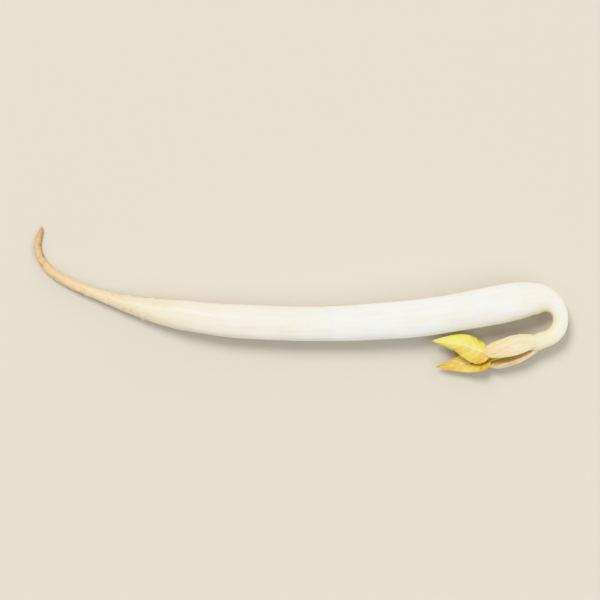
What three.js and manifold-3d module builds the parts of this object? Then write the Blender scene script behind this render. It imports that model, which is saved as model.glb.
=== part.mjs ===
// A mung bean sprout lying on a surface: root, stem, hooked top, two seed halves and two first leaves.
// Millimetres, +Z up. The stem lies along X with its hook at +X, and the head points back below it, at -Y.
import * as THREE from "three";
import { mergeVertices } from "three/addons/utils/BufferGeometryUtils.js";
import Module from "manifold-3d";

const wasm = await Module();
wasm.setup();

// Stem and root. Their centreline is laid out from the loop inside the hook.
const STEM_RADIUS = 2.33;
const SHOULDER_RADIUS = 1.72; // where the stem goes into the hook
const NECK_RADIUS = 0.93;
const JOINT_RADIUS = 1.0; // where the seed halves are attached
const ROOT_RADIUS = 0.6;
const ROOT_TIP_RADIUS = 0.34;
const SHOOT_RADIUS = 0.5;
const FLAT_DEPTH = 0.1; // how far the stem's round under side is pressed flat where it lies
const STEM_SIDES = 28;
const RINGS_PER_SPAN = 4;

// The hook's centreline is part of a circle.
const HOOK_BEND = 2.45; // its radius
const HOOK_MIDDLE = { x: -0.7, y: 0.1 };
const HOOK_LEVEL = 2.2; // height of its centreline over the surface
const HOOK_STATIONS = 7;
const HOOK_START = 80; // degrees, where the stem comes in
const HOOK_END = -80; // degrees, where the head begins

// The head: its own frame starts where the seed halves are attached, with X towards the leaf tips.
const HEAD_START = new THREE.Vector3(-1.5, -2.78, 2.0);
const HEAD_HEADING = 198; // degrees round Z
const HEAD_SLOPE = 5; // degrees, down towards the surface
const HEAD_ROLL = -38; // degrees, which lifts the inner seed half over the outer one
const SHOOT_LENGTH = 3.1;

const SEED_LENGTH = 6.75;
const SEED_WIDTH = 2.85;
const SEED_THICKNESS = 1.4;
const SEED_BACK = 0.9; // how far a seed half reaches back past its joint
const SEED_SPREAD = 4.5; // degrees between each seed half and the head's axis
const SEED_WRINKLES = 9;
const SEED_WRINKLE_DEPTH = 0.035; // as a share of the thickness
const SEED_SLICES = 36;
const SEED_STACKS = 24;

const LEAF_THICKNESS = 0.6;
const LEAF_ROWS = 36;
const LEAF_COLUMNS = 10;
const STALK_WIDTH = 0.75;
const JOINT_GAP = 0.12; // between pieces that meet

const COLOURS = { stem: 0xf2efe2, seed: 0xf1e4b4, leaf: 0xe3d23c };

const upward = new THREE.Vector3(0, 0, 1);
const radians = THREE.MathUtils.degToRad;
const blend = THREE.MathUtils.lerp;
const ease = (x, from, to) => THREE.MathUtils.smoothstep(x, from, to);

// A place on the sprout's centreline, with the radius there.
function station(x, y, z, radius) {
  return { at: new THREE.Vector3(x, y, z), radius };
}

// The same where the stem lies on the surface.
function lying(x, y, radius) {
  return station(x, y, radius - FLAT_DEPTH, radius);
}

// The root curls away from the stem and comes down to the surface.
function rootStations() {
  return [
    station(-60.15, 11.25, 0.28, ROOT_TIP_RADIUS * 0.35),
    station(-60.18, 10.9, 0.29, ROOT_TIP_RADIUS),
    station(-60.6, 8.7, 0.36, 0.42),
    station(-59.6, 6.5, 0.5, 0.5),
    station(-57.2, 4.75, 0.7, 0.56),
    station(-54.2, 3.4, 0.9, ROOT_RADIUS),
    station(-51.0, 2.3, 1.08, 0.84),
    station(-47.6, 1.4, 1.28, 1.26),
  ];
}

// The stem lies on its flattened under side, and stays thick up to the hook's shoulder.
function stemStations() {
  return [
    lying(-44.0, 0.72, 1.7),
    lying(-39.5, 0.15, 1.95),
    lying(-33.5, -0.28, 2.05),
    lying(-26.5, -0.42, 2.1),
    lying(-19.5, -0.14, 2.2),
    lying(-11.5, 0.72, 2.26),
    lying(-6.2, 1.72, STEM_RADIUS),
    lying(-3.4, 2.3, 2.25),
    station(-1.7, 2.55, HOOK_LEVEL, 2.02),
  ];
}

function hookStations() {
  return Array.from({ length: HOOK_STATIONS }, (_, i) => {
    const share = i / (HOOK_STATIONS - 1);
    const angle = radians(blend(HOOK_START, HOOK_END, share));
    const narrowed = blend(SHOULDER_RADIUS, NECK_RADIUS, Math.sin((Math.min(share * 2, 1) * Math.PI) / 2));
    const radius = blend(narrowed, JOINT_RADIUS, ease(share, 0.4, 1.1));
    const height = blend(HOOK_LEVEL, HEAD_START.z, ease(share, 0.3, 1));
    const x = HOOK_MIDDLE.x + HOOK_BEND * Math.cos(angle);
    return station(x, HOOK_MIDDLE.y + HOOK_BEND * Math.sin(angle), height, radius);
  });
}

// Where the head's own frame lies.
function headMatrix() {
  const head = new THREE.Object3D();
  head.position.copy(HEAD_START);
  head.rotation.set(radians(HEAD_ROLL), radians(HEAD_SLOPE), radians(HEAD_HEADING), "ZYX");
  head.updateMatrix();
  return head.matrix;
}

// Past the joint of the seed halves the stem goes on as the thin shoot that bears the leaves.
function shootStations(head) {
  const along = (x, radius) => {
    const at = new THREE.Vector3(x, 0, 0).applyMatrix4(head);
    return { at, radius };
  };
  return [
    along(0, JOINT_RADIUS),
    along(0.9, SHOOT_RADIUS * 1.35),
    along(1.8, SHOOT_RADIUS),
    along(SHOOT_LENGTH - 0.3, SHOOT_RADIUS),
    along(SHOOT_LENGTH, SHOOT_RADIUS * 0.45),
  ];
}

// A round body turned on a lathe from its radii, then bent so that its axis follows the stations.
function bentLathe(stations, extraRadius) {
  const route = new THREE.CatmullRomCurve3(stations.map((s) => s.at), false, "centripetal");
  const rings = (stations.length - 1) * RINGS_PER_SPAN;
  const lengths = route.getLengths(rings);
  const stationLengths = stations.map((_, i) => lengths[i * RINGS_PER_SPAN]);
  const radii = stations.map((s) => s.radius);
  const radiusAlong = new THREE.CubicInterpolant(stationLengths, radii, 1);

  const profile = [new THREE.Vector2(0, 0)];
  for (let ring = 0; ring <= rings; ring++) {
    const [radius] = radiusAlong.evaluate(lengths[ring]);
    profile.push(new THREE.Vector2(radius + extraRadius, ring));
  }
  profile.push(new THREE.Vector2(0, rings));

  const geometry = new THREE.LatheGeometry(profile, STEM_SIDES);
  const corner = new THREE.Vector3();
  const position = geometry.attributes.position;
  for (let i = 0; i < position.count; i++) {
    corner.fromBufferAttribute(position, i);
    const share = Math.round(corner.y) / rings;
    const tangent = route.getTangent(share);
    const sideways = new THREE.Vector3().crossVectors(tangent, upward).normalize();
    const over = new THREE.Vector3().crossVectors(sideways, tangent);
    const placed = route.getPoint(share);
    placed.addScaledVector(sideways, corner.x).addScaledVector(over, corner.z);
    position.setXYZ(i, placed.x, placed.y, placed.z);
  }
  return geometry;
}

// A seed half lies along X from its joint, with its flat face at Y = 0 and its back at +Y.
function seedHalfGeometry() {
  const geometry = new THREE.SphereGeometry(1, SEED_SLICES, SEED_STACKS).rotateZ(-Math.PI / 2);
  const position = geometry.attributes.position;
  for (let i = 0; i < position.count; i++) {
    const x = position.getX(i);
    const y = position.getY(i);
    const z = position.getZ(i);
    const share = (x + 1) / 2;
    const angle = Math.atan2(z, y);
    const fullness = Math.pow(Math.max(1 - x * x, 1e-6), -0.12); // blunter ends than an ellipsoid's
    const growth = blend(0.88, 1, ease(share, 0, 0.4)); // narrower at the joint
    const wrinkle = 1 + SEED_WRINKLE_DEPTH * Math.cos(SEED_WRINKLES * angle + 2.5 * x);
    const back = y > 0 ? SEED_THICKNESS * wrinkle : SEED_THICKNESS * 0.12;
    const bow = 0.22 * (x * x - 0.5);
    position.setXYZ(
      i,
      share * SEED_LENGTH - SEED_BACK,
      y * back * fullness * growth + 0.08 * SEED_THICKNESS,
      (z * SEED_WIDTH * fullness * growth) / 2 + bow,
    );
  }
  return geometry;
}

// A cupped, waved leaf on a short stalk. The two faces are split into triangles alike.
function leafGeometry({ midrib, stalkShare, halfWidth, cup, wave, waves, phase, roll }, extra) {
  const path = new THREE.CatmullRomCurve3(midrib);
  const half = (LEAF_THICKNESS + extra) / 2;
  const columns = LEAF_COLUMNS;
  const across = columns + 1;
  const points = [];
  for (let row = 0; row <= LEAF_ROWS; row++) {
    const share = row / LEAF_ROWS;
    const place = path.getPoint(share);
    const tangent = path.getTangent(share);
    const sideways = new THREE.Vector3().crossVectors(upward, tangent).normalize();
    sideways.applyAxisAngle(tangent, radians(blend(roll[0], roll[1], share)));
    const normal = new THREE.Vector3().crossVectors(tangent, sideways);
    const blade = Math.max((share - stalkShare) / (1 - stalkShare), 0);
    const oval = Math.pow(Math.sin(Math.PI * Math.pow(blade, 0.64)), 0.85);
    const width = Math.max(halfWidth * oval, (STALK_WIDTH / 2) * (1 - 0.8 * blade)) + extra / 2;
    for (let column = 0; column <= columns; column++) {
      const v = (2 * column) / columns - 1;
      const ripple = wave * Math.sin(2 * Math.PI * waves * blade + phase + (v > 0 ? 1.3 : 0));
      const bend = cup * v * v * oval * halfWidth + ripple * v * v * oval;
      const middle = place.clone().addScaledVector(sideways, v * width).addScaledVector(normal, bend);
      const lean = (2 * v * cup * oval * halfWidth) / width;
      const outward = normal.clone().addScaledVector(sideways, -lean).normalize();
      points.push({ middle, outward });
    }
  }
  const vertices = [];
  for (const side of [1, -1]) {
    for (const { middle, outward } of points) {
      vertices.push(...middle.clone().addScaledVector(outward, side * half).toArray());
    }
  }

  const under = points.length;
  const triangles = [];
  for (let row = 0; row < LEAF_ROWS; row++) {
    for (let column = 0; column < columns; column++) {
      const a = row * across + column;
      const b = a + across;
      triangles.push(a, b, b + 1, a, b + 1, a + 1);
      triangles.push(under + a, under + b + 1, under + b, under + a, under + a + 1, under + b + 1);
    }
  }
  const rim = [];
  for (let column = 0; column < columns; column++) rim.push(column);
  for (let row = 0; row < LEAF_ROWS; row++) rim.push(row * across + columns);
  for (let column = columns; column > 0; column--) rim.push(LEAF_ROWS * across + column);
  for (let row = LEAF_ROWS; row > 0; row--) rim.push(row * across);
  rim.forEach((a, i) => {
    const b = rim[(i + 1) % rim.length];
    triangles.push(a, b, under + b, a, under + b, under + a);
  });
  const geometry = new THREE.BufferGeometry();
  geometry.setAttribute("position", new THREE.Float32BufferAttribute(vertices, 3));
  return geometry.setIndex(triangles);
}

// A closed geometry as a solid. Triangles that shrank to a line at a pole are dropped.
function solidOf(geometry) {
  const bare = geometry.clone();
  bare.deleteAttribute("normal");
  bare.deleteAttribute("uv");
  const merged = mergeVertices(bare);
  const index = merged.index.array;
  const triangles = [];
  for (let i = 0; i < index.length; i += 3) {
    const [a, b, c] = [index[i], index[i + 1], index[i + 2]];
    if (a !== b && b !== c && c !== a) triangles.push(a, b, c);
  }
  const vertProperties = merged.attributes.position.array;
  const triVerts = new Uint32Array(triangles);
  return new wasm.Manifold(new wasm.Mesh({ numProp: 3, vertProperties, triVerts }));
}

// The main body of a solid, without the crumbs that a cut leaves.
function largest(solid) {
  return solid.decompose().reduce((a, b) => (b.volume() > a.volume() ? b : a));
}

// Everything below the surface that the sprout lies on.
function belowSurface() {
  const side = 400;
  return solidOf(new THREE.BoxGeometry(side, side, side).translate(0, 0, -side / 2));
}

function meshOf(name, solid, color, roughness) {
  const { vertProperties, triVerts } = solid.getMesh();
  const geometry = new THREE.BufferGeometry();
  geometry.setAttribute("position", new THREE.BufferAttribute(vertProperties, 3));
  geometry.setIndex(new THREE.BufferAttribute(triVerts, 1));
  geometry.computeVertexNormals();
  const material = new THREE.MeshStandardMaterial({ color, roughness, metalness: 0 });
  const mesh = new THREE.Mesh(geometry, material);
  mesh.name = name;
  return mesh;
}

const head = headMatrix();
const stations = [...rootStations(), ...stemStations(), ...hookStations(), ...shootStations(head)];
const stem = solidOf(bentLathe(stations, 0)).subtract(belowSurface());
const stemClearance = solidOf(bentLathe(stations, JOINT_GAP));

const headPoint = (x, y, z) => new THREE.Vector3(x, y, z).applyMatrix4(head);
const stalkStart = SHOOT_LENGTH + JOINT_GAP;
const leafForms = {
  leaf_upper: {
    midrib: [
      headPoint(stalkStart - 0.35, -0.37, 0),
      headPoint(stalkStart + 1.7, -0.4, 0.1),
      new THREE.Vector3(-7.9, -3.6, 2.0),
      new THREE.Vector3(-10.3, -2.75, 2.6),
      new THREE.Vector3(-13.5, -2.45, 2.0),
    ],
    stalkShare: 0.3,
    halfWidth: 1.5,
    cup: -0.42,
    wave: 0.12,
    waves: 2.2,
    phase: 0.4,
    roll: [52, -18],
  },
  leaf_lower: {
    midrib: [
      headPoint(stalkStart - 0.35, 0.37, 0),
      headPoint(stalkStart + 1.7, 0.4, -0.1),
      new THREE.Vector3(-7.4, -4.85, 1.0),
      new THREE.Vector3(-9.8, -5.2, 0.85),
      new THREE.Vector3(-12.9, -5.6, 0.95),
    ],
    stalkShare: 0.3,
    halfWidth: 1.4,
    cup: 0.36,
    wave: 0.12,
    waves: 1.8,
    phase: 2.2,
    roll: [52, -8],
  },
};

const leaves = {};
let seedClearance = stemClearance;
for (const [name, form] of Object.entries(leafForms)) {
  leaves[name] = solidOf(leafGeometry(form, 0)).subtract(stemClearance).subtract(belowSurface());
  seedClearance = seedClearance.add(solidOf(leafGeometry(form, 2 * JOINT_GAP)));
}

// The outer half's back is at +Y of the head, and the inner half is the same form turned to face it.
function seedHalf(turn) {
  const geometry = seedHalfGeometry();
  if (turn) geometry.rotateX(Math.PI);
  geometry.rotateZ(radians(turn ? -SEED_SPREAD : SEED_SPREAD));
  geometry.translate(0, turn ? -JOINT_GAP : JOINT_GAP, 0);
  const whole = solidOf(geometry.applyMatrix4(head)).subtract(belowSurface());
  return largest(whole.subtract(seedClearance));
}

const sprout = new THREE.Group();
sprout.add(meshOf("stem_and_root", stem, COLOURS.stem, 0.35));
sprout.add(meshOf("cotyledon_inner", seedHalf(true), COLOURS.seed, 0.5));
sprout.add(meshOf("cotyledon_outer", seedHalf(false), COLOURS.seed, 0.5));
for (const [name, leaf] of Object.entries(leaves)) {
  sprout.add(meshOf(name, leaf, COLOURS.leaf, 0.45));
}

// The origin is at the middle of the sprout's outline on the surface.
const bounds = new THREE.Box3().setFromObject(sprout, true);
const middle = bounds.getCenter(new THREE.Vector3());
sprout.position.set(-middle.x, -middle.y, -bounds.min.z);

export default sprout;
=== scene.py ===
# A mung bean sprout on a pale floor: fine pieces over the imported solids, with materials, light and camera.
import math
import random

import bmesh
import bpy
from mathutils import Euler, Matrix, Vector, noise


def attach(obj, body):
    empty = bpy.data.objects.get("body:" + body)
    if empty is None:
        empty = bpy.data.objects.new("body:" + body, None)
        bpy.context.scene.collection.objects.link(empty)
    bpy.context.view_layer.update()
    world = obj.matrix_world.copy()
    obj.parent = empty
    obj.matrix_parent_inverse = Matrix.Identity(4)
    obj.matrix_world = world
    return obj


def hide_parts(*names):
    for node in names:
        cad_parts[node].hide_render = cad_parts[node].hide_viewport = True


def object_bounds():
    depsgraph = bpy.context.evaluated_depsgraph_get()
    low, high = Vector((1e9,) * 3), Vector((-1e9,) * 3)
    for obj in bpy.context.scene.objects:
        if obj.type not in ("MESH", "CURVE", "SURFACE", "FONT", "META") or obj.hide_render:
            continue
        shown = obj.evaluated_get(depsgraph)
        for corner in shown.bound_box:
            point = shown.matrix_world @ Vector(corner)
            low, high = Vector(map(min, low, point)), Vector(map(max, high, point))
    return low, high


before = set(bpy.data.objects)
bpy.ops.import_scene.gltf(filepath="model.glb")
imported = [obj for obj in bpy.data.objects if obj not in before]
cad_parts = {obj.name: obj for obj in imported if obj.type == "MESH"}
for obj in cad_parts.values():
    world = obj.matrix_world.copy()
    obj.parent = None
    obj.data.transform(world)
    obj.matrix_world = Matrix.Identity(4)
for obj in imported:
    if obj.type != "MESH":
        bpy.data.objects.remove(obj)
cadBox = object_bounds()
print("frame loaded:", sorted(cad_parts))

mm = 0.001
creaseAngle = 60  # degrees; a sharper edge is shaded as an edge
random.seed(11)
noise.seed_set(11)

# All places below are millimetres from a zero point in the loop of the hook, which lies here in the frame.
loopMiddle = Vector((29.167, -2.416, 0.0))


def placed(x, y, z):  # millimetres from the loop to metres in the frame
    return (Vector((x, y, z)) + loopMiddle) * mm


def ease(value, low, high):
    share = min(max((value - low) / (high - low), 0.0), 1.0)
    return share * share * (3 - 2 * share)


def between(first, last, share):
    return first + (last - first) * share


def only(piece):  # select this piece alone
    bpy.ops.object.select_all(action="DESELECT")
    piece.select_set(True)
    bpy.context.view_layer.objects.active = piece


def newest(name):  # what the last add operator made
    piece = bpy.context.object
    piece.name = name
    piece.data.name = name
    return piece


def pick(piece, wanted):  # in edit mode, select the vertices whose place is wanted
    bpy.ops.mesh.select_mode(type="VERT")
    bpy.ops.mesh.select_all(action="DESELECT")
    flesh = bmesh.from_edit_mesh(piece.data)
    for corner in flesh.verts:
        corner.select_set(wanted(corner.co))
    flesh.select_flush_mode()
    bmesh.update_edit_mesh(piece.data)


def sculpt(piece, height):  # push each vertex along its normal, by a height in millimetres
    normals = [corner.normal.copy() for corner in piece.data.vertices]
    for corner, normal in zip(piece.data.vertices, normals):
        corner.co += normal * (height(corner.index, corner.co) * mm)
    piece.data.update()


def pressOnFloor(piece):  # what would sink below the floor is pressed flat on it
    only(piece)
    bpy.ops.object.mode_set(mode="EDIT")
    pick(piece, lambda co: co.z < 0)
    bpy.ops.transform.resize(value=(1, 1, 0), center_override=(0, 0, 0))
    bpy.ops.object.mode_set(mode="OBJECT")


def applyModifier(piece, kind, **settings):
    only(piece)
    modifier = piece.modifiers.new(kind.lower(), kind)
    for name, value in settings.items():
        setattr(modifier, name, value)
    bpy.ops.object.modifier_apply(modifier=modifier.name)


def writeAttribute(piece, name, kind, values):
    attribute = piece.data.attributes.new(name, kind, "POINT")
    if kind == "FLOAT":
        attribute.data.foreach_set("value", values)
    else:
        attribute.data.foreach_set("vector", [number for value in values for number in value])


def finishPiece(piece, node, material):
    only(piece)
    piece.data.materials.clear()
    piece.data.materials.append(material)
    bpy.ops.object.shade_smooth_by_angle(angle=math.radians(creaseAngle))
    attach(piece, "root")
    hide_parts(node)
    print(piece.name, len(piece.data.polygons), "faces")


def linear(hexColour):  # an sRGB hex value as linear red, green, blue and alpha
    levels = [int(hexColour[i : i + 2], 16) / 255 for i in (0, 2, 4)]
    return [c / 12.92 if c <= 0.04045 else ((c + 0.055) / 1.055) ** 2.4 for c in levels] + [1.0]


def addNode(tree, kind, settings=None, sockets=None, links=None, stops=None):
    node = tree.nodes.new(kind)
    for name, value in (settings or {}).items():
        setattr(node, name, value)
    for name, value in (sockets or {}).items():
        node.inputs[name].default_value = value
    for name, source in (links or {}).items():
        tree.links.new(source, node.inputs[name])
    if stops:
        ramp = node.color_ramp.elements
        while len(ramp) < len(stops):
            ramp.new(1.0)
        for element, (position, hexColour) in zip(ramp, stops):
            element.position = position
            element.color = linear(hexColour)
    return node


def perMetre(millimetres):  # how often a pattern of this size repeats in a metre
    return 1 / (millimetres * mm)


def newMaterial(name, sockets):
    material = bpy.data.materials.new(name)
    material.use_nodes = True
    tree = material.node_tree
    tree.nodes.clear()
    shader = addNode(tree, "ShaderNodeBsdfPrincipled", sockets=sockets)
    addNode(tree, "ShaderNodeOutputMaterial", links={"Surface": shader.outputs[0]})
    return material, tree, shader


stemFinish = {
    "colours": [  # millimetres from the root's tip, colour
        (0.0, "bd8c58"),
        (1.6, "dab583"),
        (8.0, "e8d0a9"),
        (15.0, "efe0c2"),
        (21.0, "f3ebd8"),
        (29.0, "f5f2e9"),
        (48.0, "f9f9f6"),
        (62.0, "f9f8f4"),
        (67.5, "f9f7ee"),
        (71.0, "f9f5e4"),
        (74.5, "f6eacb"),
        (77.0, "f4e3bc"),
    ],
    "length": 82.0,  # where the colours end
    "fibreMm": (0.45, 6.0),  # width and length of a strand; the real 0.15 mm width would not show
    "fibreHeightMm": 0.06,
    "stemRadiusMm": 2.2,
    "cloudMm": 5.0,  # patches where the tissue holds more or less water
    "speckMm": 0.8,
    "fibreTones": [(0.32, "ded6c4"), (0.5, "f4f1e8"), (0.7, "ffffff")],
    "fibreDepth": (0.8, 0.4),  # how strong those tones are at the root's tip and on the stem
    "cloudTones": [(0.35, "f0e9d8"), (0.65, "ffffff")],
    "cloudDepth": 0.4,
    "rootEnds": 24.0,  # millimetres from the root's tip
    "speck": "9a6236",
    "speckLevels": (0.56, 0.68),  # the noise levels where a speck begins and is full
    "speckDepth": 0.85,
    # painted shade: cream on the inner side of the hook's loop, where the loop hides the light
    "insideHookShade": "f0e0a6",
    "gloss": (0.3, 0.46),
    "scatterShare": 0.55,
    "scatterMm": 1.4,
}


def makeStemMaterial():
    # Watery white stem tissue under a thin moist skin: soft light inside, faint long strands, satin gloss,
    # and painted cream shade on the inner side of the hook's loop.
    look = stemFinish
    material, tree, shader = newMaterial(
        "moistStemTissue",
        {
            "IOR": 1.38,
            "Subsurface Weight": look["scatterShare"],
            "Subsurface Radius": (1.0, 0.9, 0.76),
            "Subsurface Scale": look["scatterMm"] * mm,
            "Coat Weight": 0.22,
            "Coat Roughness": 0.18,
        },
    )
    grain = addNode(tree, "ShaderNodeAttribute", {"attribute_name": "grain"})
    split = addNode(tree, "ShaderNodeSeparateXYZ", links={0: grain.outputs["Vector"]})
    along = addNode(
        tree,
        "ShaderNodeMapRange",
        sockets={"From Min": 0.0, "From Max": look["length"]},
        links={"Value": split.outputs["Z"]},
    )
    base = addNode(
        tree,
        "ShaderNodeValToRGB",
        links={"Fac": along.outputs["Result"]},
        stops=[(place / look["length"], colour) for place, colour in look["colours"]],
    )
    around = look["stemRadiusMm"] / look["fibreMm"][0]  # the grain's circle is as wide as the stem
    lengthwise = 1 / look["fibreMm"][1]
    stretched = addNode(
        tree,
        "ShaderNodeMapping",
        sockets={"Scale": (around, around, lengthwise)},
        links={"Vector": grain.outputs["Vector"]},
    )
    fibres = addNode(
        tree,
        "ShaderNodeTexNoise",
        sockets={"Scale": 1.0, "Detail": 4.0, "Roughness": 0.6},
        links={"Vector": stretched.outputs["Vector"]},
    )
    fibreTone = addNode(
        tree,
        "ShaderNodeValToRGB",
        links={"Fac": fibres.outputs["Fac"]},
        stops=look["fibreTones"],
    )
    # painted shade: this attribute marks the inner side of the hook's loop, which is tinted cream
    inside = addNode(tree, "ShaderNodeAttribute", {"attribute_name": "inside"})
    hookShaded = addNode(
        tree,
        "ShaderNodeMix",
        {"data_type": "RGBA"},
        {7: linear(look["insideHookShade"])},
        {"Factor": inside.outputs["Fac"], 6: base.outputs["Color"]},
    )
    fibreDepth = addNode(
        tree,
        "ShaderNodeMapRange",
        sockets={
            "From Max": look["rootEnds"],
            "To Min": look["fibreDepth"][0],
            "To Max": look["fibreDepth"][1],
        },
        links={"Value": split.outputs["Z"]},
    )
    fibred = addNode(
        tree,
        "ShaderNodeMix",
        {"data_type": "RGBA", "blend_type": "MULTIPLY"},
        links={
            "Factor": fibreDepth.outputs["Result"],
            6: hookShaded.outputs[2],
            7: fibreTone.outputs["Color"],
        },
    )
    place = addNode(tree, "ShaderNodeTexCoord")
    cloud = addNode(
        tree,
        "ShaderNodeTexNoise",
        sockets={"Scale": perMetre(look["cloudMm"]), "Detail": 2.0},
        links={"Vector": place.outputs["Object"]},
    )
    cloudTone = addNode(
        tree,
        "ShaderNodeValToRGB",
        links={"Fac": cloud.outputs["Fac"]},
        stops=look["cloudTones"],
    )
    clouded = addNode(
        tree,
        "ShaderNodeMix",
        {"data_type": "RGBA", "blend_type": "MULTIPLY"},
        {"Factor": look["cloudDepth"]},
        {6: fibred.outputs[2], 7: cloudTone.outputs["Color"]},
    )
    rootness = addNode(
        tree,
        "ShaderNodeMapRange",
        sockets={"From Max": look["rootEnds"], "To Min": look["speckDepth"], "To Max": 0.0},
        links={"Value": split.outputs["Z"]},
    )
    grit = addNode(
        tree,
        "ShaderNodeTexNoise",
        sockets={"Scale": perMetre(look["speckMm"]), "Detail": 3.0, "Roughness": 0.65},
        links={"Vector": place.outputs["Object"]},
    )
    speck = addNode(
        tree,
        "ShaderNodeMapRange",
        sockets={"From Min": look["speckLevels"][0], "From Max": look["speckLevels"][1]},
        links={"Value": grit.outputs["Fac"]},
    )
    speckOnRoot = addNode(
        tree,
        "ShaderNodeMath",
        {"operation": "MULTIPLY"},
        links={0: speck.outputs["Result"], 1: rootness.outputs["Result"]},
    )
    specked = addNode(
        tree,
        "ShaderNodeMix",
        {"data_type": "RGBA"},
        {7: linear(look["speck"])},
        {"Factor": speckOnRoot.outputs[0], 6: clouded.outputs[2]},
    )
    tree.links.new(specked.outputs[2], shader.inputs["Base Color"])
    gloss = addNode(
        tree,
        "ShaderNodeMapRange",
        sockets={"To Min": look["gloss"][0], "To Max": look["gloss"][1]},
        links={"Value": fibres.outputs["Fac"]},
    )
    tree.links.new(gloss.outputs["Result"], shader.inputs["Roughness"])
    bump = addNode(
        tree,
        "ShaderNodeBump",
        sockets={"Strength": 0.4, "Distance": look["fibreHeightMm"] * mm},
        links={"Height": fibres.outputs["Fac"]},
    )
    tree.links.new(bump.outputs["Normal"], shader.inputs["Normal"])
    return material


seedFinish = {
    "flesh": [(0.3, "efdbad"), (0.5, "f5e6bf"), (0.72, "f8edd2")],
    # painted shade: the rim colour darkens the flat face and rim where the two halves meet, and the tip
    "rim": "d3a96c",
    # painted shade: the furrow colour darkens the troughs of the wrinkles, and the back toward the tip
    "furrow": "e6c88e",
    "mottleMm": 1.9,
    "poreMm": 0.4,  # real starch cells are 0.05 mm and would not show
    "poreDepthMm": 0.04,
    "gloss": (0.34, 0.55),
    "scatterShare": 0.4,
    "scatterMm": 0.7,
}


def makeSeedMaterial():
    # Starchy seed half that has shrunk a little: waxy cream flesh, with painted shade in the troughs of its
    # wrinkles and along its rim where the two halves meet, darker toward its tip.
    look = seedFinish
    material, tree, shader = newMaterial(
        "waxySeedFlesh",
        {
            "IOR": 1.42,
            "Subsurface Weight": look["scatterShare"],
            "Subsurface Radius": (1.0, 0.7, 0.35),
            "Subsurface Scale": look["scatterMm"] * mm,
            "Coat Weight": 0.12,
            "Coat Roughness": 0.25,
        },
    )
    place = addNode(tree, "ShaderNodeTexCoord")
    mottle = addNode(
        tree,
        "ShaderNodeTexNoise",
        sockets={"Scale": perMetre(look["mottleMm"]), "Detail": 5.0, "Roughness": 0.62},
        links={"Vector": place.outputs["Object"]},
    )
    flesh = addNode(
        tree,
        "ShaderNodeValToRGB",
        links={"Fac": mottle.outputs["Fac"]},
        stops=look["flesh"],
    )
    # painted shade in the troughs of the wrinkles, darker toward the tip
    furrow = addNode(tree, "ShaderNodeAttribute", {"attribute_name": "furrow"})
    furrowed = addNode(
        tree,
        "ShaderNodeMix",
        {"data_type": "RGBA"},
        {7: linear(look["furrow"])},
        {"Factor": furrow.outputs["Fac"], 6: flesh.outputs["Color"]},
    )
    # painted shade where the two halves meet, plus a darker tip
    rim = addNode(tree, "ShaderNodeAttribute", {"attribute_name": "rim"})
    rimmed = addNode(
        tree,
        "ShaderNodeMix",
        {"data_type": "RGBA"},
        {7: linear(look["rim"])},
        {"Factor": rim.outputs["Fac"], 6: furrowed.outputs[2]},
    )
    tree.links.new(rimmed.outputs[2], shader.inputs["Base Color"])
    gloss = addNode(
        tree,
        "ShaderNodeMapRange",
        sockets={"To Min": look["gloss"][0], "To Max": look["gloss"][1]},
        links={"Value": mottle.outputs["Fac"]},
    )
    tree.links.new(gloss.outputs["Result"], shader.inputs["Roughness"])
    pores = addNode(
        tree,
        "ShaderNodeTexNoise",
        sockets={"Scale": perMetre(look["poreMm"]), "Detail": 2.0},
        links={"Vector": place.outputs["Object"]},
    )
    bump = addNode(
        tree,
        "ShaderNodeBump",
        sockets={"Strength": 0.3, "Distance": look["poreDepthMm"] * mm},
        links={"Height": pores.outputs["Fac"]},
    )
    tree.links.new(bump.outputs["Normal"], shader.inputs["Normal"])
    return material


leafFinish = {
    "across": [(0.0, "f5ea8c"), (0.35, "f2e46e"), (0.8, "ede15e"), (1.0, "e0da50")],  # midrib to margin
    # painted shade: this gold stands for the shade on the lower leaf and on the upper leaf's far half, and
    # also for random patches
    "goldAndShade": "cb9c38",
    "vein": "f8f0b0",
    "base": "f2e48a",
    "baseEnds": (0.22, 0.42),  # shares of the leaf's length where the stalk's colour fades
    "baseDepth": 0.8,
    "leafMm": (9.6, 1.5),  # length, and width from midrib to margin
    "netMm": (0.22, 0.14),  # a mesh of the vein net, along and across; real ones are half as wide
    "netLine": 0.1,  # half the width of a line, as a share of a mesh
    "netDepth": 0.26,
    "netDepthMm": 0.05,
    "gloss": (0.5, 0.38),  # on a line of the net and between the lines
    "scatterShare": 0.35,
    "scatterMm": 0.5,
}


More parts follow.
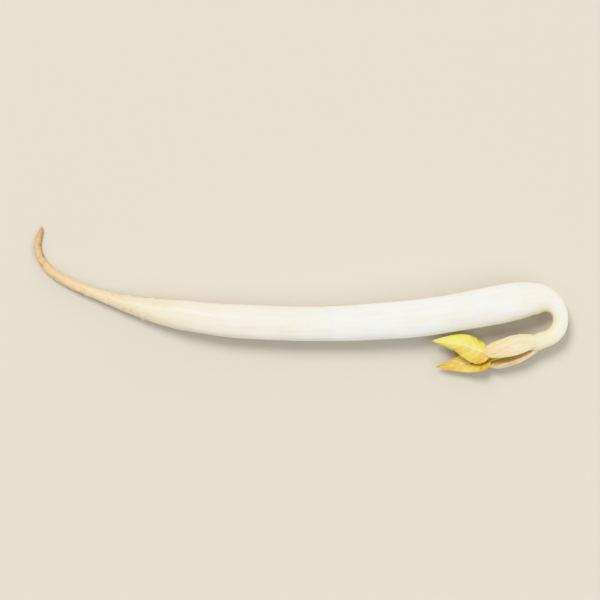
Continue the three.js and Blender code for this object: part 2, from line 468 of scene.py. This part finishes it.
def makeLeafMaterial():
    # Thin young leaf raised in the dark: lemon, greener at its margins, with painted gold shade on the lower
    # leaf and on the upper leaf's half away from the stem, gold in random patches, with pale veins.
    look = leafFinish
    material, tree, shader = newMaterial(
        "youngYellowLeaf",
        {
            "IOR": 1.42,
            "Subsurface Weight": look["scatterShare"],
            "Subsurface Radius": (0.9, 0.9, 0.25),
            "Subsurface Scale": look["scatterMm"] * mm,
            "Coat Weight": 0.1,
            "Coat Roughness": 0.3,
        },
    )
    blade = addNode(tree, "ShaderNodeAttribute", {"attribute_name": "blade"})
    split = addNode(tree, "ShaderNodeSeparateXYZ", links={0: blade.outputs["Vector"]})
    aside = addNode(tree, "ShaderNodeMath", {"operation": "ABSOLUTE"}, links={0: split.outputs["Y"]})
    across = addNode(
        tree,
        "ShaderNodeValToRGB",
        links={"Fac": aside.outputs[0]},
        stops=look["across"],
    )
    # painted shade: gold where the leaf lies in shade, plus random gold patches
    goldShaded = addNode(
        tree,
        "ShaderNodeMix",
        {"data_type": "RGBA"},
        {7: linear(look["goldAndShade"])},
        {"Factor": split.outputs["Z"], 6: across.outputs["Color"]},
    )
    meshes = [size / net for size, net in zip(look["leafMm"], look["netMm"])]
    stretched = addNode(
        tree,
        "ShaderNodeMapping",
        sockets={"Scale": (meshes[0], meshes[1], 0.0)},
        links={"Vector": blade.outputs["Vector"]},
    )
    net = addNode(
        tree,
        "ShaderNodeTexVoronoi",
        {"feature": "DISTANCE_TO_EDGE"},
        {"Scale": 1.0},
        {"Vector": stretched.outputs["Vector"]},
    )
    netLine = addNode(
        tree,
        "ShaderNodeMapRange",
        sockets={"From Max": look["netLine"], "To Min": look["netDepth"], "To Max": 0.0},
        links={"Value": net.outputs["Distance"]},
    )
    netted = addNode(
        tree,
        "ShaderNodeMix",
        {"data_type": "RGBA"},
        {7: linear(look["vein"])},
        {"Factor": netLine.outputs["Result"], 6: goldShaded.outputs[2]},
    )
    vein = addNode(tree, "ShaderNodeAttribute", {"attribute_name": "vein"})
    veined = addNode(
        tree,
        "ShaderNodeMix",
        {"data_type": "RGBA"},
        {7: linear(look["vein"])},
        {"Factor": vein.outputs["Fac"], 6: netted.outputs[2]},
    )
    stalkward = addNode(
        tree,
        "ShaderNodeMapRange",
        sockets={
            "From Min": look["baseEnds"][0],
            "From Max": look["baseEnds"][1],
            "To Min": look["baseDepth"],
            "To Max": 0.0,
        },
        links={"Value": split.outputs["X"]},
    )
    stalked = addNode(
        tree,
        "ShaderNodeMix",
        {"data_type": "RGBA"},
        {7: linear(look["base"])},
        {"Factor": stalkward.outputs["Result"], 6: veined.outputs[2]},
    )
    tree.links.new(stalked.outputs[2], shader.inputs["Base Color"])
    gloss = addNode(
        tree,
        "ShaderNodeMapRange",
        sockets={
            "From Max": 2 * look["netLine"],
            "To Min": look["gloss"][0],
            "To Max": look["gloss"][1],
        },
        links={"Value": net.outputs["Distance"]},
    )
    tree.links.new(gloss.outputs["Result"], shader.inputs["Roughness"])
    bump = addNode(
        tree,
        "ShaderNodeBump",
        sockets={"Strength": 0.4, "Distance": look["netDepthMm"] * mm},
        links={"Height": net.outputs["Distance"]},
    )
    tree.links.new(bump.outputs["Normal"], shader.inputs["Normal"])
    return material


stemMaterial = makeStemMaterial()
seedMaterial = makeSeedMaterial()
leafMaterial = makeLeafMaterial()
print("materials ready")


# The head has a frame of its own: X runs to the leaf tips, +Y to the outer seed half.
head = {
    "start": (-1.5, -2.78, 2.0),  # where the seed halves are attached
    "heading": 198,  # degrees
    "slope": 5,
    "roll": -38,
}
headTurn = Euler([math.radians(head[k]) for k in ("roll", "slope", "heading")], "XYZ")
headFrame = Matrix.Translation(Vector(head["start"])) @ headTurn.to_matrix().to_4x4()


def headPoint(x, y, z):  # millimetres in the head's frame to millimetres from the loop
    return headFrame @ Vector((x, y, z))


# Root, stem, hook and shoot are grown as one piece.
stem = {
    "root": [  # x, y, z, radius
        (-60.1, 11.2, 0.2, 0.06),
        (-60.2, 10.7, 0.22, 0.22),
        (-60.6, 8.7, 0.34, 0.38),
        (-59.6, 6.5, 0.5, 0.5),
        (-57.2, 4.75, 0.7, 0.56),
        (-54.2, 3.4, 0.9, 0.6),
        (-51.0, 2.3, 1.08, 0.84),
        (-47.6, 1.4, 1.28, 1.26),
    ],
    "lying": [  # x, y, radius, where the stem rests on its pressed under side
        (-44.0, 0.72, 1.7),
        (-39.5, 0.15, 1.95),
        (-33.5, -0.28, 2.05),
        (-26.5, -0.42, 2.1),
        (-19.5, -0.14, 2.2),
        (-11.5, 0.72, 2.26),
        (-6.2, 1.72, 2.33),
        (-3.4, 2.3, 2.25),
    ],
    "pressed": 0.1,  # depth of the flat under side
    "shoulder": (-1.7, 2.55, 2.2, 2.02),
    "hookMiddle": (-0.7, 0.1),
    "hookBend": 2.45,  # radius of the hook's centreline
    "hookLevel": 2.2,
    "hookAngles": (80, -80),
    "hookSteps": 6,
    "hookRadii": (1.72, 0.93, 1.0),  # shoulder, neck and joint
    "shoot": [(0, 1.0), (0.9, 0.675), (1.8, 0.5), (2.8, 0.5), (3.1, 0.225)],  # along the head, radius
    "ringsPerSpan": 26,
    "bevelSteps": 12,
    "slack": 0.03,  # keeps the skin inside the solid
    "flutes": 0.05,  # heights of the skin's reliefs, broad to fine
    "lumps": 0.07,
    "fine": 0.014,
    "creases": 0.022,
    # painted shade on the inner side of the hook's loop: how far it reaches and fades, how strong it is, and
    # from where along the stem
    "insideHookShade": {"reach": 2.3, "fade": 1.4, "shadeShare": 0.55, "from": (63, 67)},
    "nubs": {"count": 9, "along": (9, 19), "height": 0.13},
    "dents": {"count": 16, "along": (24, 60), "depth": (0.04, 0.1), "reach": (0.8, 2.6), "width": 0.16},
    "rootKnots": 0.03,
    "rootFolds": 0.03,
    "rootRings": 0.008,
}


def stemStations():
    stations = [(placed(x, y, z), radius) for x, y, z, radius in stem["root"]]
    stations += [(placed(x, y, r - stem["pressed"]), r) for x, y, r in stem["lying"]]
    x, y, z, radius = stem["shoulder"]
    stations.append((placed(x, y, z), radius))
    shoulder, neck, joint = stem["hookRadii"]
    for i in range(stem["hookSteps"] + 1):
        share = i / stem["hookSteps"]
        angle = math.radians(between(*stem["hookAngles"], share))
        narrowed = between(shoulder, neck, math.sin(min(share * 2, 1) * math.pi / 2))
        radius = between(narrowed, joint, ease(share, 0.4, 1.1))
        height = between(stem["hookLevel"], head["start"][2], ease(share, 0.3, 1))
        x = stem["hookMiddle"][0] + stem["hookBend"] * math.cos(angle)
        y = stem["hookMiddle"][1] + stem["hookBend"] * math.sin(angle)
        stations.append((placed(x, y, height), radius))
    for x, radius in stem["shoot"]:
        stations.append((placed(*headPoint(x, 0, 0)), radius))
    return stations


def makeStem():
    stations = stemStations()
    bpy.ops.object.select_all(action="DESELECT")
    bpy.ops.curve.primitive_bezier_curve_add()
    piece = newest("stemAndRoot")
    bpy.ops.object.mode_set(mode="EDIT")
    bpy.ops.curve.select_all(action="SELECT")
    bpy.ops.curve.delete(type="VERT")
    for place, _ in stations:
        bpy.ops.curve.vertex_add(location=place)
    bpy.ops.curve.select_all(action="SELECT")
    bpy.ops.curve.handle_type_set(type="AUTOMATIC")
    bpy.ops.object.mode_set(mode="OBJECT")
    route = piece.data
    spline = route.splines[0]
    spline.radius_interpolation = "CARDINAL"
    for point, (_, radius) in zip(spline.bezier_points, stations):
        point.radius = radius
    route.dimensions = "3D"
    route.twist_mode = "Z_UP"
    route.bevel_depth = mm
    route.bevel_resolution = stem["bevelSteps"]
    route.resolution_u = stem["ringsPerSpan"]
    only(piece)
    bpy.ops.object.convert(target="MESH")
    piece = bpy.context.object
    bpy.ops.object.mode_set(mode="EDIT")
    bpy.ops.mesh.select_all(action="SELECT")
    bpy.ops.mesh.fill_holes(sides=0)  # the two ends
    bpy.ops.mesh.normals_make_consistent(inside=False)
    bpy.ops.object.mode_set(mode="OBJECT")
    corners = piece.data.vertices
    sides = 4 + 2 * stem["bevelSteps"]
    rings = len(corners) // sides
    print("stem rings", rings, "sides", sides, "corners", len(corners))

    middles = []
    for ring in range(rings):
        places = [corners[ring * sides + side].co for side in range(sides)]
        middles.append(sum(places, Vector()) / sides)
    lengths = [0.0]
    for before, after in zip(middles, middles[1:]):
        lengths.append(lengths[-1] + (after - before).length / mm)
    print("stem length", round(lengths[-1], 1))

    grain = []
    for corner in corners:
        ring, side = divmod(corner.index, sides)
        turn = 2 * math.pi * side / sides
        grain.append((math.cos(turn), math.sin(turn), lengths[ring]))
    loop = placed(*stem["hookMiddle"], stem["hookLevel"])
    hookShades = []
    nub, dent, inside = stem["nubs"], stem["dents"], stem["insideHookShade"]
    fullTurn = 2 * math.pi
    nubs = [(random.uniform(*nub["along"]), random.uniform(0, fullTurn)) for _ in range(nub["count"])]
    dents = []
    for _ in range(dent["count"]):
        place, turn = random.uniform(*dent["along"]), random.uniform(0, fullTurn)
        dents.append((place, turn, random.uniform(*dent["depth"]), random.uniform(*dent["reach"])))

    rootEnds = stemFinish["rootEnds"]

    def height(index, co):
        cosine, sine, along = grain[index]
        size = min((co - middles[index // sides]).length / mm / 2, 1.0)
        flute = noise.noise(Vector((cosine * 2.6, sine * 2.6, along * 0.05)))
        lump = noise.noise(Vector((cosine * 0.7 + 9, sine * 0.7, along * 0.22)))
        fine = noise.noise(Vector((cosine * 7, sine * 7, along * 0.35 + 40)))
        rise = stem["flutes"] * flute + stem["lumps"] * lump + stem["fine"] * fine
        rise = size * (rise - stem["slack"])
        inner = ease(inside["reach"] - (co - loop).to_2d().length / mm, 0.0, inside["fade"])
        rise += inner * stem["creases"] * math.sin(along * 7 + 3 * noise.noise(co * 700))
        # painted shade: cream tint on the inner side of the hook's loop
        hookShades.append(inside["shadeShare"] * inner * ease(along, *inside["from"]))
        for place, turn, depth, reach in dents:
            across = 1 - cosine * math.cos(turn) - sine * math.sin(turn)
            rise -= depth * math.exp(-(((along - place) / reach) ** 2) - (across / dent["width"]) ** 2)
        if along < rootEnds:  # the thin root is knotty and shrunk into folds
            shrunk = ease(rootEnds - along, 0, 8)
            knot = noise.noise(Vector((cosine * 2, sine * 2, along * 1.3)))
            fold = noise.noise(Vector((cosine * 3.2, sine * 3.2, along * 0.4 + 70)))
            wander = 4 * noise.noise(Vector((cosine, sine, along)))
            rise += stem["rootKnots"] * knot
            rise += stem["rootFolds"] * shrunk * fold
            rise += stem["rootRings"] * shrunk * math.sin(along * 8 + wander)
            for place, turn in nubs:
                across = 1.8 * (cosine * math.cos(turn) + sine * math.sin(turn) - 1)
                rise += nub["height"] * math.exp(-((along - place) ** 2 + across**2) / 0.05)
        return rise

    sculpt(piece, height)
    pressOnFloor(piece)
    writeAttribute(piece, "grain", "FLOAT_VECTOR", grain)
    writeAttribute(piece, "inside", "FLOAT", hookShades)
    finishPiece(piece, "stem_and_root", stemMaterial)


makeStem()


seedHalf = {
    "length": 6.75,
    "width": 2.85,
    "thickness": 1.4,
    "reachesBack": 0.9,  # past the joint
    "spread": 4.5,  # degrees from the head's axis
    "gap": 0.12,
    "segments": 96,
    "rings": 72,
    "hollow": -0.12,
    "rise": 0.08,  # of the whole half off its flat face, as a share of the thickness
    "bow": 0.22,
    "bluntness": 0.12,
    "growth": (0.88, 1.0),  # at the joint and further on
    "wrinkles": 9,
    "wrinkleDepth": 0.042,
    "fine": 0.03,
    "dimples": 0.07,
    # weights of painted shade in the wrinkles' troughs and between the halves at the rim, and of a darker
    # tone toward the tip
    "shadeAndTipTone": {"wrinkles": 0.36, "fine": 0.3, "tip": 0.42, "rim": 0.85, "rimTip": 0.55},
}


def makeSeedHalf(name, node, inner):
    bpy.ops.object.select_all(action="DESELECT")
    bpy.ops.mesh.primitive_uv_sphere_add(
        segments=seedHalf["segments"],
        ring_count=seedHalf["rings"],
        radius=1.0,
        rotation=(0, math.radians(90), 0),
    )
    piece = newest(name)
    bpy.ops.object.transform_apply(location=False, rotation=True, scale=False)
    length, width, thickness = seedHalf["length"], seedHalf["width"], seedHalf["thickness"]
    rise = seedHalf["rise"] * thickness

    bpy.ops.object.mode_set(mode="EDIT")
    pick(piece, lambda co: co.y < -1e-4)  # the face that meets the other half is hollow
    bpy.ops.transform.resize(value=(1, seedHalf["hollow"], 1), center_override=(0, 0, 0))
    for i in range(1, seedHalf["rings"]):
        x = -math.cos(math.pi * i / seedHalf["rings"])
        share = (x + 1) / 2
        fullness = (1 - x * x) ** -seedHalf["bluntness"]
        growth = between(*seedHalf["growth"], ease(share, 0.0, 0.4))
        pick(piece, lambda co: abs(co.x - x) < 1e-4)
        value = (1, thickness * fullness * growth, width / 2 * fullness * growth)
        bpy.ops.transform.resize(value=value, center_override=(x, 0, 0))
        bpy.ops.transform.translate(value=(0, rise, seedHalf["bow"] * (x * x - 0.5)))
    bpy.ops.mesh.select_all(action="SELECT")
    bpy.ops.transform.translate(value=(1, 0, 0))
    bpy.ops.transform.resize(value=(length / 2, 1, 1), center_override=(0, 0, 0))
    bpy.ops.transform.translate(value=(-seedHalf["reachesBack"], 0, 0))
    bpy.ops.transform.resize(value=(mm, mm, mm), center_override=(0, 0, 0))
    rimReach = (rise + 0.22) * mm
    pick(piece, lambda co: abs(co.y - rise * mm) < rimReach)
    bpy.ops.mesh.vertices_smooth(factor=0.5, repeat=6)
    bpy.ops.object.mode_set(mode="OBJECT")

    rims, furrows = [], []
    phase = 0.7 if inner else 2.9
    shadeAndTipTone = seedHalf["shadeAndTipTone"]

    def height(index, co):
        x, y, z = co / mm
        turn = math.atan2(z, y)
        wander = 1.6 * noise.noise(Vector((x * 0.5, turn, phase)))
        wave = math.cos(seedHalf["wrinkles"] * turn + 0.9 * x + wander + phase)
        back = ease(y, 0.1, 0.6)
        grown = ease(x, 0.3, 2.2)  # the folds run out towards the joint
        fine = noise.noise(Vector((x * 0.9, turn * 5, phase * 3)))
        # painted shade: darker in the troughs of the folds, and darker toward the tip
        dark = shadeAndTipTone["wrinkles"] * ease(-wave, 0.35, 1.0) + shadeAndTipTone["fine"] * ease(-fine, 0.1, 0.6)
        furrows.append(min(max(back * grown * dark + shadeAndTipTone["tip"] * ease(x, 1.5, 5.5), 0), 1))
        # painted shade on the flat face and rim where the halves meet, darker at the tip, in random spots
        tip = ease(x, length - 1.1, length - 0.4) * shadeAndTipTone["rimTip"]
        nearRim = 1 - ease(y, 0.12, 0.42)
        spotted = 0.6 + 0.5 * noise.noise(Vector((x, y, z)) * 1.7)
        rims.append(min(max((nearRim * shadeAndTipTone["rim"] + tip) * spotted * (0.4 + 0.6 * grown), 0), 1))
        dimple = noise.noise(Vector((x * 1.1, y * 1.1, z * 1.1 + 5)))
        folds = seedHalf["wrinkleDepth"] * wave + seedHalf["fine"] * fine
        return back * ((0.25 + 0.75 * grown) * folds + seedHalf["dimples"] * dimple)

    sculpt(piece, height)
    writeAttribute(piece, "rim", "FLOAT", rims)
    writeAttribute(piece, "furrow", "FLOAT", furrows)
    side = -1 if inner else 1
    local = Matrix.Translation((0, side * seedHalf["gap"] * mm, 0))
    local = local @ Matrix.Rotation(math.radians(side * seedHalf["spread"]), 4, "Z")
    if inner:
        local = local @ Matrix.Rotation(math.pi, 4, "X")
    start = placed(*head["start"])
    piece.matrix_world = Matrix.Translation(start) @ headTurn.to_matrix().to_4x4() @ local
    only(piece)
    bpy.ops.object.transform_apply(location=True, rotation=True, scale=True)
    pressOnFloor(piece)
    finishPiece(piece, node, seedMaterial)


makeSeedHalf("innerSeedHalf", "cotyledon_inner", True)
makeSeedHalf("outerSeedHalf", "cotyledon_outer", False)


leafPlan = {
    "rows": 150,
    "columns": 44,
    "thickness": 0.2,
    "thinMargin": 0.35,  # share of the thickness that is left at the margins
    "stalkWidth": 0.7,
    "stalkShare": 0.3,  # of the leaf's length
    "sideVeins": 8,
    "veinSlant": 1.5,
    "pucker": 0.07,  # the blade swells this much between two side veins
    "crumple": 0.05,
    "frill": 0.07,  # height of the folds at the margin
    "frills": 6.5,  # how many there are along the blade
    "groove": 0.05,  # along the midrib
    "leaves": {
        "upperLeaf": {
            "node": "leaf_upper",
            "midrib": [
                headPoint(2.87, -0.37, 0),
                headPoint(4.92, -0.4, 0.1),
                Vector((-7.9, -3.6, 2.0)),
                Vector((-10.3, -2.75, 2.6)),
                Vector((-13.5, -2.45, 2.0)),
            ],
            "halfWidth": 1.5,
            "cup": -0.42,
            "wave": 0.12,
            "waves": 2.2,
            "phase": 0.4,
            "roll": (52, -18),  # degrees, at the stalk and at the tip
            "goldAndShade": (0.0, 0.5),  # how much painted gold shade each side of the midrib gets; the half away from the stem falls away from the light
        },
        "lowerLeaf": {
            "node": "leaf_lower",
            "midrib": [
                headPoint(2.87, 0.37, 0),
                headPoint(4.92, 0.4, -0.1),
                Vector((-7.4, -4.85, 1.0)),
                Vector((-9.8, -5.2, 0.85)),
                Vector((-12.9, -5.6, 0.95)),
            ],
            "halfWidth": 1.4,
            "cup": 0.36,
            "wave": 0.12,
            "waves": 1.8,
            "phase": 2.2,
            "roll": (52, -8),
            # painted gold shade: this leaf lies in the shade of the upper leaf
            "goldAndShade": (0.9, 0.74),
        },
    },
}


def alongMidrib(points, share):  # a smooth line through the points
    spans = len(points) - 1
    reach = share * spans
    i = min(int(reach), spans - 1)
    t = reach - i
    b, c = points[i], points[i + 1]
    a = points[i - 1] if i else 2 * b - c
    d = points[i + 2] if i + 2 <= spans else 2 * c - b
    bend = (2 * a - 5 * b + 4 * c - d) * t**2
    swing = (3 * b - a - 3 * c + d) * t**3
    return 0.5 * (2 * b + (c - a) * t + bend + swing)


def makeLeaf(name, form):
    rows, columns = leafPlan["rows"], leafPlan["columns"]
    bpy.ops.object.select_all(action="DESELECT")
    bpy.ops.mesh.primitive_grid_add(x_subdivisions=rows, y_subdivisions=columns, size=1.0)
    piece = newest(name)
    blades, veins, fleshes = [], [], []
    stalkShare = leafPlan["stalkShare"]
    for corner in piece.data.vertices:
        share, v = corner.co.x + 0.5, corner.co.y * 2
        place = alongMidrib(form["midrib"], share)
        ahead = alongMidrib(form["midrib"], min(share + 0.005, 1))
        behind = alongMidrib(form["midrib"], max(share - 0.005, 0))
        tangent = (ahead - behind).normalized()
        sideways = Vector((0, 0, 1)).cross(tangent).normalized()
        roll = math.radians(between(*form["roll"], share))
        sideways.rotate(Matrix.Rotation(roll, 3, tangent))
        normal = tangent.cross(sideways)
        blade = max((share - stalkShare) / (1 - stalkShare), 0.0)
        oval = max(math.sin(math.pi * blade**0.64), 0.0) ** 0.85
        narrow = leafPlan["stalkWidth"] / 2 * (1 - 0.88 * blade)
        width = max(form["halfWidth"] * oval, narrow)
        aside = abs(v)
        phase = form["phase"]
        sidePhase = phase + (1.3 if v > 0 else 0)
        ripple = form["wave"] * math.sin(2 * math.pi * form["waves"] * blade + sidePhase)
        bend = form["cup"] * aside**1.4 * oval * form["halfWidth"] + ripple * v * v * oval
        edge = 1 + 0.03 * noise.noise(Vector((share * 26, v * 2, phase)))  # an uneven margin
        inBlade = ease(blade, 0.02, 0.2)
        ladder = blade * leafPlan["sideVeins"] - aside * leafPlan["veinSlant"]
        offVein = abs(ladder - round(ladder))  # 0 on a side vein, half between two
        sideVein = (1 - ease(offVein, 0.03, 0.14)) * (1 - ease(aside, 0.75, 0.97)) * inBlade
        midrib = (1 - ease(aside * max(oval, 0.25), 0.03, 0.1)) * ease(blade, 0, 0.1)
        swell = math.sin(math.pi * offVein) * ease(aside, 0.04, 0.3) * (1 - 0.6 * aside) * inBlade
        crumple = leafPlan["crumple"] * noise.noise(Vector((share * 9, v * 2.2, phase * 3))) * oval
        frill = aside**5 * math.sin(2 * math.pi * leafPlan["frills"] * blade + 3 * phase * v) * oval
        groove = leafPlan["groove"] * midrib * inBlade
        lift = bend + leafPlan["pucker"] * swell + crumple + leafPlan["frill"] * frill - groove
        spot = place + sideways * (v * width * (edge if aside > 0.9 else 1)) + normal * lift
        corner.co = placed(*spot)
        # painted shade: gold by leaf and by side of the midrib, plus random gold patches
        patch = 0.5 * noise.noise(Vector((share * 5, v * 1.2, phase)))
        goldAndShade = between(*form["goldAndShade"], ease(v, -0.25, 0.25)) + patch
        blades.append((share, v, min(max(goldAndShade, 0.0), 1.0)))
        thinned = ease(max(aside, 2.2 * blade - 1.2), 0.5, 1.0)
        fleshes.append(between(1.0, leafPlan["thinMargin"], thinned))
        veins.append(max(0.6 * sideVein * (1 - 0.4 * aside), 0.75 * midrib))
    piece.data.update()
    writeAttribute(piece, "blade", "FLOAT_VECTOR", blades)
    writeAttribute(piece, "vein", "FLOAT", veins)
    group = piece.vertex_groups.new(name="flesh")
    for corner, weight in zip(piece.data.vertices, fleshes):
        group.add([corner.index], weight, "REPLACE")
    thickness = leafPlan["thickness"] * mm
    applyModifier(piece, "SOLIDIFY", thickness=thickness, offset=0.0, vertex_group="flesh")
    piece.vertex_groups.clear()
    pressOnFloor(piece)
    finishPiece(piece, form["node"], leafMaterial)


for leafName, leafForm in leafPlan["leaves"].items():
    makeLeaf(leafName, leafForm)


stageSet = {
    "floorSize": 80.0,
    "floorDrop": 0.02,  # millimetres under the sprout, so that the two faces don't fight
    "floorColour": "cdc5b6",
    "lamps": [  # name, strength, apparent size in degrees, the side it shines from
        ("keyLight", 2.2, 24, (-0.16, 0.26, 0.42)),
        ("fillLight", 0.75, 41, (0.3, -0.2, 0.4)),
        ("rimLight", 0.37, 23, (0.3, 0.35, 0.2)),
    ],
    "sky": 0.7,
    "skyColour": "eff3fa",
    "lens": 100.0,
    "height": 0.2,  # metres from the floor to the camera
}


def makeStage():
    bpy.ops.object.select_all(action="DESELECT")
    level = -stageSet["floorDrop"] * mm
    bpy.ops.mesh.primitive_plane_add(size=stageSet["floorSize"], location=(0, 0, level))
    floor = newest("floor")
    material, tree, shader = newMaterial("paleMattBoard", {"Roughness": 0.7, "Specular IOR Level": 0.25})
    shader.inputs["Base Color"].default_value = linear(stageSet["floorColour"])
    floor.data.materials.append(material)

    for name, strength, degrees, place in stageSet["lamps"]:
        bpy.ops.object.light_add(type="SUN", location=place)
        lamp = newest(name)
        lamp.data.energy = strength
        lamp.data.angle = math.radians(degrees)
        lamp.rotation_euler = Vector(place).to_track_quat("Z", "Y").to_euler()

    world = bpy.data.worlds.new("softRoom")
    world.use_nodes = True
    sky = world.node_tree.nodes["Background"]
    sky.inputs["Color"].default_value = linear(stageSet["skyColour"])
    sky.inputs["Strength"].default_value = stageSet["sky"]
    bpy.context.scene.world = world
    bpy.context.scene.view_settings.view_transform = "Khronos PBR Neutral"


def makeCamera():
    low, high = cadBox
    middle = (low + high) / 2
    bpy.ops.object.camera_add(location=(middle.x, middle.y, stageSet["height"]), rotation=(0, 0, 0))
    camera = newest("viewFromAbove")
    camera.data.lens = stageSet["lens"]
    camera.data.sensor_width = 36.0
    camera.data.clip_start = 0.01
    camera.data.clip_end = 100.0
    bpy.context.scene.camera = camera


makeStage()
makeCamera()
print("stage ready")
